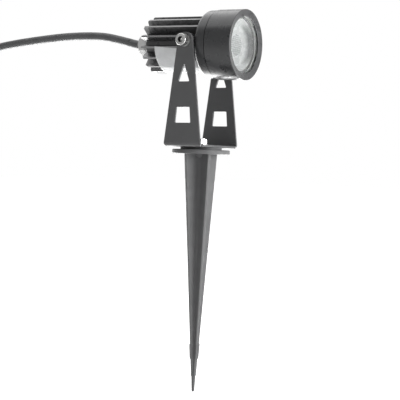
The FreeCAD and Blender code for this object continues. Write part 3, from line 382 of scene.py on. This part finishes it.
def coated(name, colour, rough, grain=2600, grain_depth=0.00003, variation=0.12, metallic=0.0, wear=None,
           stretch=None, rough_spread=0.07, specular=0.5, coat=0.0):
    """Paint, plastic or bare metal: cloudy tone, uneven gloss, fine grain and, with wear, lighter edges."""
    m = Maker(name)
    clouds = m.noise(55, detail=5, roughness=0.6)
    tone = m.blend(m.range(clouds, 0, 1), shade(colour, 1 - variation), shade(colour, 1 + variation))
    fine = m.noise(grain, detail=3, roughness=0.6, stretch=stretch)
    if wear:
        geometry = m.nodes.new("ShaderNodeNewGeometry")
        edge = m.range(geometry.outputs["Pointiness"], 0, 0.75, 0.535, 0.60)
        patchy = m.range(m.noise(320, detail=4), 0.2, 1, 0.42, 0.6)
        tone = m.blend(m.maths("MULTIPLY", edge, patchy), tone, wear)
    gloss = m.range(m.noise(130, detail=3), rough - rough_spread, rough + rough_spread)
    m.surface(tone, gloss, m.bump(fine, 0.35, grain_depth))
    m.shader.inputs["Metallic"].default_value = metallic
    m.shader.inputs["Specular IOR Level"].default_value = specular
    m.shader.inputs["Coat Weight"].default_value = coat
    m.shader.inputs["Coat Roughness"].default_value = COAT_ROUGHNESS
    return m.material


def clear(name, colour):
    """Clear glass with a faint unevenness."""
    m = Maker(name)
    m.shader.inputs["Transmission Weight"].default_value = 1.0
    m.shader.inputs["IOR"].default_value = GLASS_IOR
    tone = m.blend(m.range(m.noise(60, detail=2), 0, 1), shade(colour, 0.985), colour)
    m.surface(tone, m.range(m.noise(900, detail=2), 0, 0.02))
    return m.material


paint = coated("bracket_coat", (0.096, 0.097, 0.099), 0.46, variation=0.03, rough_spread=0.03)
body_coat = coated(
    "body_coat", (0.090, 0.091, 0.093), 0.34, wear=(0.34, 0.34, 0.345),
    metallic=0.2, variation=0.04, coat=0.5,
)
ring_coat = coated(
    "ring_coat", (0.037, 0.038, 0.040), 0.30, grain=3200, grain_depth=0.00002,
    metallic=0.2, variation=0.04, specular=0.6, coat=0.45,
)
# a lighter coat for the fins' tips, a painted highlight
painted_highlight_fin_tip = coated("painted_highlight_fin_tip", (0.26, 0.26, 0.262), 0.32, metallic=0.2, variation=0.05, coat=0.5)
# a lighter coat for the bracket's upper edges, a painted highlight
painted_highlight_edge = coated("painted_highlight_edge", (0.22, 0.22, 0.225), 0.35, metallic=0.4, variation=0.05)
spike_plastic = coated(
    "spike_plastic", (0.140, 0.141, 0.143), 0.5, specular=0.3, grain=1500, grain_depth=0.00004,
    stretch=(1, 1, 0.25), variation=0.05,
)
steel = coated(
    "plated_steel", (0.72, 0.72, 0.71), 0.27, metallic=1.0, grain=1800, stretch=(1, 6, 1), variation=0.05,
)
# a dark coat for the screws' sockets, painted shade
painted_shade_socket = coated("painted_shade_socket", (0.035, 0.035, 0.036), 0.55)
brass = coated("brass", (0.72, 0.53, 0.25), 0.3, metallic=1.0, variation=0.06)
rubber = coated("seal_rubber", (0.03, 0.03, 0.031), 0.62)
jacket = coated("cable_jacket", (0.096, 0.097, 0.100), 0.5, grain=900, grain_depth=0.00005, variation=0.08)
gland = coated("gland_nylon", (0.60, 0.60, 0.595), 0.36, grain=1400, variation=0.06)
holder = coated("holder_plastic", (0.05, 0.05, 0.052), 0.45)
board_white = coated("board_white", (0.80, 0.80, 0.78), 0.4, variation=0.03)
board_green = coated("board_green", (0.03, 0.17, 0.07), 0.4, variation=0.15)
pad = coated("heat_pad", (0.40, 0.42, 0.45), 0.7)
phosphor = coated("phosphor", (0.86, 0.68, 0.16), 0.5, variation=0.05)
ferrite = coated("ferrite", (0.07, 0.07, 0.075), 0.5)
can = coated("can_sleeve", (0.05, 0.06, 0.09), 0.3)
chip = coated("chip_black", (0.02, 0.02, 0.021), 0.4)
wire_red = coated("wire_red", (0.35, 0.04, 0.03), 0.45)
core_coat = coated("core_coat", (0.22, 0.10, 0.05), 0.45)
strand = coated("tinned_strand", (0.75, 0.62, 0.5), 0.32, metallic=1.0, grain=2500, stretch=(1, 1, 0.2))
tie_nylon = coated("tie_nylon", (0.03, 0.03, 0.03), 0.4)
silicone = coated("silicone", (0.72, 0.72, 0.71), 0.5, variation=0.04)
glass = clear("cover_glass", (0.97, 0.985, 0.98))

for material, names in [
    (spike_plastic, ["spike"]),
    (brass, ["threaded_insert"]),
    (steel, ["swivel_bolt", "swivel_washer", "tilt_screws", "spring_washers", "board_screws"]),
    (paint, ["yoke"]),
    (body_coat, ["finned_body"]),
    (ring_coat, ["bezel"]),
    (rubber, ["body_seal", "gland_washer", "gland_seal"]),
    (glass, ["cover_glass"]),
    (silicone, ["glass_gasket"]),
    (holder, ["lens_holder"]),
    (phosphor, ["led_cob"]),
    (board_white, ["led_board"]),
    (pad, ["thermal_pad"]),
    (board_green, ["driver_board"]),
    (ferrite, ["driver_inductor"]),
    (can, ["driver_capacitor"]),
    (chip, ["driver_chips"]),
    (wire_red, ["lead_wires", "supply_wires"]),
    (gland, ["gland_body", "gland_nut"]),
    (jacket, ["cable_inlet"]),
    (core_coat, ["cable_cores"]),
    (strand, ["core_strands"]),
    (tie_nylon, ["coil_tie"]),
]:
    for name in names:
        mesh = nodes[name].data
        mesh.materials.clear()
        mesh.materials.append(material)
        sharp_where(mesh, SHARP_FROM_DEGREES)
cable.data.materials.append(jacket)


def coat_part(node, material, picks):
    """Gives a material of its own to the polygons that a test of place and direction picks."""
    mesh = nodes[node].data
    mesh.materials.append(material)
    slot = len(mesh.materials) - 1
    for polygon in mesh.polygons:
        if picks(nodes[node].matrix_world @ polygon.center, polygon.normal):
            polygon.material_index = slot


# the sheet's cut edges on the bracket's legs above a height are painted lighter than its faces, a painted
# highlight where they catch the top light
HIGHLIGHT_EDGES_ABOVE = 60 * MM
coat_part("yoke", painted_highlight_edge, lambda place, normal: abs(normal.y) < 0.3 and place.z > HIGHLIGHT_EDGES_ABOVE)

# the body's collar behind the ring takes the ring's coat, as smooth as the ring, and the fins' tips get a
# lighter coat, a painted highlight where they catch the light
to_head = Matrix.Rotation(-HEAD_DIP, 4, "Y") @ Matrix.Translation((0, 0, -PIVOT * MM))


def on_collar(place, normal):
    local = to_head @ place
    return local.x > 0 and math.hypot(local.y, local.z) > (FIN_R + 0.3) * MM


def on_highlighted_fin_tip(place, normal):
    local = to_head @ place
    return local.x < 0 and math.hypot(local.y, local.z) > (FIN_R - 0.12) * MM


coat_part("finned_body", ring_coat, on_collar)
coat_part("finned_body", painted_highlight_fin_tip, on_highlighted_fin_tip)

# the hexagon sockets of the tilt screws are painted dark inside, painted shade in the recess
SOCKET_R, SOCKET_FROM, SOCKET_TO = 2.35 * MM, 30.9 * MM, 33.7 * MM


def in_socket(place, normal):
    near = math.hypot(place.x, place.z - PIVOT * MM) < SOCKET_R
    return near and SOCKET_FROM < abs(place.y) < SOCKET_TO


coat_part("tilt_screws", painted_shade_socket, in_socket)

# ---------------------------------------------------------------- the lens
# places in mm from the tilt axis, with their radius
LENS_POCKET = (16.3, 1.7), (15.5, 3.4), (10.1, 4.6)
LENS_BACK, LENS_MIDDLE, LENS_SHOULDER = (10.1, 6.4), (16.6, 13.4), (27.4, 18.6)
MIDDLE_SHARE = 0.45
BOWL_STEPS, FRONT_STEPS, DISC_STEPS = 24, 16, 10
LENS_FRONT = 29.0
FLANGE_R = 20.1
DISC_AT = 21.8
DISC_R = 7.4
# the bowl's painted dark band, a painted shade where light passes out of the lens, begins and is full at
# these places, in m from the tilt axis
PAINTED_SHADE_BAND_FROM, PAINTED_SHADE_BAND_FULL = 0.019, 0.023


def bowl_profile():
    """The lens's bowl, from the pocket over the lamp chip round to its shoulder."""
    points = [*LENS_POCKET, LENS_BACK]
    for k in range(1, BOWL_STEPS + 1):
        t = k / BOWL_STEPS
        # a parabola through the three places
        back = (t - MIDDLE_SHARE) * (t - 1) / MIDDLE_SHARE
        middle = t * (t - 1) / (MIDDLE_SHARE * (MIDDLE_SHARE - 1))
        shoulder = t * (t - MIDDLE_SHARE) / (1 - MIDDLE_SHARE)
        points.append(tuple(
            p * back + q * middle + r * shoulder
            for p, q, r in zip(LENS_BACK, LENS_MIDDLE, LENS_SHOULDER)
        ))
    return points


bowl = turned_mesh("lens_bowl", bowl_profile())
m = Maker("lens_painted_reflection")
# the bowl's colour is a painted reflection: white where its wall is seen at a slant and all over its deep
# part, standing in for light mirrored inside the lens, and painted dark where it is met head on near its
# rim, where light passes out of it
slant = m.nodes.new("ShaderNodeLayerWeight")
slant.inputs["Blend"].default_value = 0.5
painted_reflection_slant = m.range(slant.outputs["Facing"], 0, 1, 0.15, 0.4)
painted_reflection_deep = m.range(m.parts_of(m.place)["X"], 1, 0, PAINTED_SHADE_BAND_FROM, PAINTED_SHADE_BAND_FULL)
tone = m.blend(m.maths("MAXIMUM", painted_reflection_slant, painted_reflection_deep), (0.08, 0.085, 0.085), (0.99, 0.99, 0.99))
m.surface(tone, m.range(m.noise(240, detail=3), 0.18, 0.34), m.bump(m.cells(700), 0.25, 0.0002))
m.shader.inputs["Metallic"].default_value = 0.15
bowl.materials.append(m.material)
optic = piece("lens_optic", bowl, "head")
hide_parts("lens")

# the clear front and the flange's rim
lens_front = turned_mesh("lens_front", [
    *[(LENS_FRONT, FLANGE_R * k / FRONT_STEPS) for k in range(FRONT_STEPS + 1)],
    (28.7, FLANGE_R), (27.4, 19.9), LENS_SHOULDER,
])
m = Maker("lens_face")
tone = m.blend(m.range(m.noise(90, detail=2), 0, 1), (0.95, 0.96, 0.96), (0.99, 0.99, 0.99))
m.surface(tone, m.range(m.noise(300, detail=2), 0.0, 0.02), m.bump(m.noise(260, detail=2), 0.06, 0.0001))
m.shader.inputs["Transmission Weight"].default_value = 0.94
m.shader.inputs["IOR"].default_value = 1.25
lens_front.materials.append(m.material)
piece("lens_front", lens_front, "head")

# the lens's middle is a disc of small pillows with a rounded rim, seen through its clear front
pillows = turned_mesh("lens_pillows", [
    (DISC_AT - 0.4, DISC_R + 0.1), (DISC_AT - 0.1, DISC_R), (DISC_AT, DISC_R - 0.3),
    *[(DISC_AT, (DISC_R - 0.4) * k / DISC_STEPS) for k in range(DISC_STEPS, -1, -1)],
])
m = Maker("lens_pillows")
cells = m.cells(680, randomness=0.2)
# each pillow is painted light in its middle and dark towards its edges, painted shade in the creases
# between the pillows
tone = m.blend(m.range(cells, 0, 1, 0.25, 0.62), (0.84, 0.85, 0.85), (0.26, 0.27, 0.27))
m.surface(tone, m.range(m.noise(300, detail=2), 0.2, 0.3), m.bump(cells, 0.6, 0.0005))
pillows.materials.append(m.material)
piece("lens_pillows", pillows, "head")

# ---------------------------------------------------------------- the bare label
LABEL_REAR, LABEL_FRONT = -30.4, 3.2
LABEL_TOP, LABEL_TOP_DROP, LABEL_BOTTOM = -9.0, -7.5, -101.0
LABEL_ALONG, LABEL_AROUND = 68, 190
LABEL_OFF_BOSS, LABEL_CUT_BAND = 6.7, 0.8
LABEL_CLEARANCE, LABEL_SAG, LABEL_RIPPLE = 0.2, 0.22, 0.05
FILM_THICKNESS = 0.00012


def label_mesh():
    """A film drawn over the fin tips, a little flat from tip to tip and cut round the side boss."""
    verts, faces, inside = [], [], []
    for i in range(LABEL_ALONG + 1):
        share = i / LABEL_ALONG
        s = LABEL_REAR + (LABEL_FRONT - LABEL_REAR) * share
        upper = LABEL_TOP + LABEL_TOP_DROP * share
        for j in range(LABEL_AROUND + 1):
            a = upper + (LABEL_BOTTOM - upper) * j / LABEL_AROUND
            between = 0.5 - 0.5 * math.cos(2 * math.pi * (a + 180 / FINS) * FINS / 360)
            ripple = LABEL_RIPPLE * math.sin(s * 0.9 + a * 0.11) * math.sin(a * 0.21)
            r = FIN_R + LABEL_CLEARANCE - (LABEL_SAG - ripple) * between
            place, height = s, r * math.sin(math.radians(a))
            reach = math.hypot(place, height)
            # points just inside the cut move out to its edge, and those further in are left out
            if LABEL_OFF_BOSS - LABEL_CUT_BAND < reach < LABEL_OFF_BOSS:
                place, height = place * LABEL_OFF_BOSS / reach, height * LABEL_OFF_BOSS / reach
                reach = LABEL_OFF_BOSS
            inside.append(reach < LABEL_OFF_BOSS)
            verts.append(on_head(place, -math.sqrt(r * r - height * height), height))
    row = LABEL_AROUND + 1
    for i in range(LABEL_ALONG):
        for j in range(LABEL_AROUND):
            a = i * row + j
            corners = (a, a + 1, a + row + 1, a + row)
            if not any(inside[c] for c in corners):
                faces.append(corners)
    return mesh_from("bare_label", verts, faces)


label = piece("bare_label", label_mesh(), "head")
thick = label.modifiers.new("film", "SOLIDIFY")
thick.thickness = FILM_THICKNESS
thick.offset = 0
m = Maker("silver_film")
tone = m.blend(m.range(m.noise(120, detail=4), 0, 1), (0.64, 0.65, 0.655), (0.73, 0.74, 0.745))
m.surface(tone, m.range(m.noise(400, detail=3), 0.32, 0.46), m.bump(m.noise(210, detail=3), 0.25, 0.0001))
m.shader.inputs["Metallic"].default_value = 0.05
m.shader.inputs["Specular IOR Level"].default_value = 0.25
label.data.materials.append(m.material)
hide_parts("blank_label")

# ---------------------------------------------------------------- floor
FLOOR_SIDE, FLOOR_NEAR, FLOOR_FAR = 4, -4, 6
FLOOR_GLOW = 0.74
STRIP_GLOW = 8.0
STRIP_START, STRIP_END = (0.0, 0.25), (0.45, 1.0)
floor_mesh = mesh_from("floor", [
    Vector((-FLOOR_SIDE, FLOOR_NEAR, GROUND * MM)), Vector((FLOOR_SIDE, FLOOR_NEAR, GROUND * MM)),
    Vector((FLOOR_SIDE, FLOOR_FAR, GROUND * MM)), Vector((-FLOOR_SIDE, FLOOR_FAR, GROUND * MM)),
], [(0, 1, 2, 3)], smooth=False)
floor = bpy.data.objects.new("floor", floor_mesh)
scene.collection.objects.link(floor)
m = Maker("floor_white")
m.shader.inputs["Base Color"].default_value = (0.86, 0.86, 0.86, 1)
m.shader.inputs["Roughness"].default_value = 0.9
m.shader.inputs["Specular IOR Level"].default_value = 0.1
rays = m.nodes.new("ShaderNodeLightPath").outputs
seen = m.maths("MAXIMUM", rays["Is Camera Ray"], rays["Is Transmission Ray"])
# a bright strip behind the object, which only its reflections show
floor_y = m.parts_of(m.place)["Y"]
rise = m.eased(floor_y, *STRIP_START, 0, STRIP_GLOW)
fall = m.eased(floor_y, *STRIP_END, 1, 0)
strip = m.maths("MULTIPLY", rays["Is Glossy Ray"], m.maths("MULTIPLY", rise, fall))
glow = m.nodes.new("ShaderNodeEmission")
m.link(m.maths("ADD", m.eased(seen, 0, 1, 0, FLOOR_GLOW), strip), glow.inputs["Strength"])
add = m.nodes.new("ShaderNodeAddShader")
m.link(m.shader.outputs[0], add.inputs[0])
m.link(glow.outputs[0], add.inputs[1])
m.link(add.outputs[0], m.output.inputs["Surface"])
floor.data.materials.append(m.material)

# ---------------------------------------------------------------- world
# a light backdrop behind the object, a dimmer room on the camera's side and a dimmer ceiling
ROOM_LEVEL = 0.32
BACKDROP_LEVEL = 0.9
CEILING_SHARE = 0.75
world = bpy.data.worlds.new("studio")
scene.world = world
world.use_nodes = True
studio = Tree(world.node_tree)
background = studio.nodes["Background"]
background.inputs["Color"].default_value = (1, 1, 1, 1)
paths = studio.nodes.new("ShaderNodeLightPath").outputs
# the camera sees white, also straight through glass; light gathered inside the lens comes from the studio
bounces = studio.maths("MAXIMUM", paths["Glossy Depth"], paths["Diffuse Depth"])
straight = studio.maths("MULTIPLY", paths["Is Transmission Ray"], studio.eased(bounces, 0, 1, 1, 0))
seen = studio.maths("MAXIMUM", paths["Is Camera Ray"], straight)
heading = studio.parts_of(studio.nodes.new("ShaderNodeTexCoord").outputs["Generated"])
behind = studio.eased(heading["Y"], -0.2, 0.5, ROOM_LEVEL, BACKDROP_LEVEL)
overhead = studio.eased(heading["Z"], 0.05, 0.7, 1, CEILING_SHARE)
mix = studio.nodes.new("ShaderNodeMix")
studio.link(seen, mix.inputs["Factor"])
studio.link(studio.maths("MULTIPLY", behind, overhead), mix.inputs["A"])
mix.inputs["B"].default_value = 1.0
studio.link(mix.outputs["Result"], background.inputs["Strength"])


# ---------------------------------------------------------------- lamps
def area_lamp(name, place, target, size, watts):
    data = bpy.data.lights.new(name, "AREA")
    data.shape = "RECTANGLE"
    data.size = size
    data.size_y = size
    data.energy = watts
    lamp = bpy.data.objects.new(name, data)
    scene.collection.objects.link(lamp)
    lamp.location = place
    lamp.rotation_mode = "QUATERNION"
    lamp.rotation_quaternion = (Vector(target) - Vector(place)).to_track_quat("-Z", "Y")


area_lamp("top_lamp", place=(-0.35, 0.05, 1.1), target=(0, 0, 0.05), size=1.6, watts=9.8)
area_lamp("right_lamp", place=(1.02, 0.0, 0.12), target=(0, 0, 0.05), size=0.7, watts=10)
area_lamp("front_lamp", place=(-0.2, -1.2, 0.2), target=(0, 0, -0.05), size=0.5, watts=0.5)

scene.view_settings.view_transform = "Standard"
